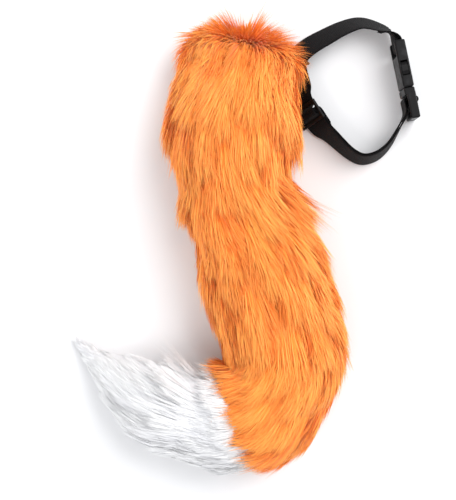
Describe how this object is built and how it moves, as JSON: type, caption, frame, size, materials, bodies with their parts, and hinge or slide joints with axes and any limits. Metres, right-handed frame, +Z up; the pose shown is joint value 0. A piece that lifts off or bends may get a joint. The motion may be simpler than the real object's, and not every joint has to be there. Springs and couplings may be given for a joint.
{
  "type": "costume animal tail with waist belt",
  "caption": "Long plush costume tail, orange with a white tip, lying curled beside its black webbing belt with a side release buckle and a slider.",
  "frame": {"origin": "middle of the whole thing's footprint, on the surface it lies on", "axes": "+Z up, towards the viewer of the picture; +Y towards the tail's root; +X towards the buckle"},
  "size_m": [0.2882, 0.3872, 0.0856],
  "materials": {
    "plush_orange": "long soft pile fur, orange, with darker valleys between its locks",
    "plush_white": "long soft pile fur, white",
    "webbing_black": "black woven webbing with a fine rib",
    "buckle_plastic": "black moulded plastic, finely grained"
  },
  "bodies": {
    "root": {"tail_body": "plush_orange", "tail_tip": "plush_white", "belt_keeper": "webbing_black", "belt_webbing": "webbing_black", "buckle_socket": "buckle_plastic", "buckle_plug": "buckle_plastic", "strap_slider": "buckle_plastic"}
  },
  "joints": []
}
